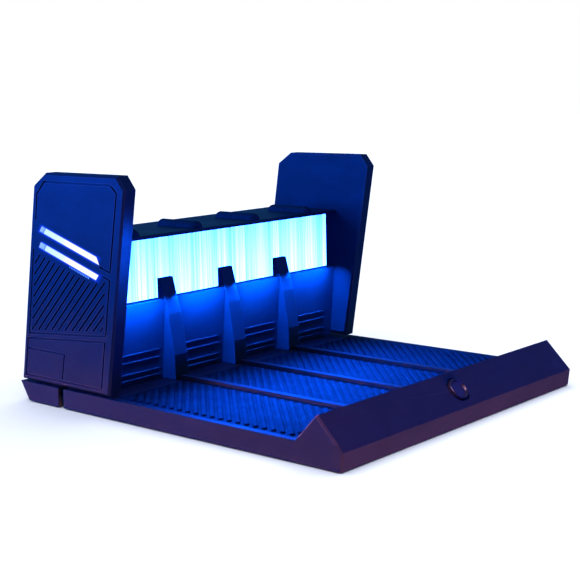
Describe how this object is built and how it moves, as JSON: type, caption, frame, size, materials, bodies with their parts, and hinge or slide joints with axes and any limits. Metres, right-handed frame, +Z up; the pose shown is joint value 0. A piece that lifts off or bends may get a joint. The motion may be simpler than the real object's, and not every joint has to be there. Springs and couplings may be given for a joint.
{
  "type": "illuminated display rack",
  "caption": "Desktop display rack with a ribbed tray, wedge lip, leaning side panels and a lit rear unit that carries the front ends of the stored items.",
  "frame": {"origin": "centre of the bounding box at the underside of the rubber feet", "axes": "+X across the lanes to the right when the lip faces the viewer, +Y from the lip to the rear, +Z up"},
  "size_m": [0.23, 0.252, 0.141],
  "materials": {
    "base_black": "fine moulded grain, satin black",
    "panel_black": "fine moulded grain, satin black",
    "unit_black": "fine moulded grain, satin black",
    "mat": "matt silicone rubber",
    "rubber": "matt rubber",
    "light_bar": "clear light guide, lit blue-white",
    "diffuser": "translucent prismatic sheet, lit blue-white",
    "reflector": "white sheet",
    "circuit": "green solder mask with packages",
    "screw_steel": "zinc-plated, blackened",
    "socket_metal": "drawn shell",
    "ring_black": "satin black",
    "button_gloss": "polished black",
    "inner_plastic": "plain moulded",
    "wire_jacket": "PVC jacket"
  },
  "bodies": {
    "rack": {"base_tray": "base_black", "bottom_cover": "base_black", "rubber_foot_1": "rubber", "rubber_foot_2": "rubber", "rubber_foot_3": "rubber", "rubber_foot_4": "rubber", "base_screws": "screw_steel", "lane_mat_1": "mat", "lane_mat_2": "mat", "lane_mat_3": "mat", "lane_mat_4": "mat", "left_panel_cover": "panel_black", "left_panel_plate": "panel_black", "left_panel_screws": "screw_steel", "left_light_guide": "light_bar", "left_led_board": "circuit", "right_panel_cover": "panel_black", "right_panel_plate": "panel_black", "right_panel_screws": "screw_steel", "right_light_guide": "light_bar", "right_led_board": "circuit", "rear_unit_front": "unit_black", "light_diffuser": "diffuser", "main_led_strip": "circuit", "light_reflector": "reflector", "top_deck": "unit_black", "rest_bumper_1": "rubber", "rest_bumper_2": "rubber", "rest_bumper_3": "rubber", "rest_bumper_4": "rubber", "rear_cover": "base_black", "controller_board": "circuit", "board_spacers": "inner_plastic", "power_socket": "socket_metal", "button_ring": "ring_black", "tact_switch": "inner_plastic", "switch_board": "circuit", "button_lead": "wire_jacket", "strip_lead": "wire_jacket", "left_panel_lead": "wire_jacket", "right_panel_lead": "wire_jacket"},
    "button": {"button_cap": "button_gloss", "switch_plunger": "inner_plastic"}
  },
  "joints": [
    {"name": "button_press", "type": "slide", "parent": "rack", "child": "button", "axis": [0, 0.7114, -0.7028], "range_m": [0, 0.001], "stiffness_N_per_m": 800, "springref_m": -0.0005}
  ]
}
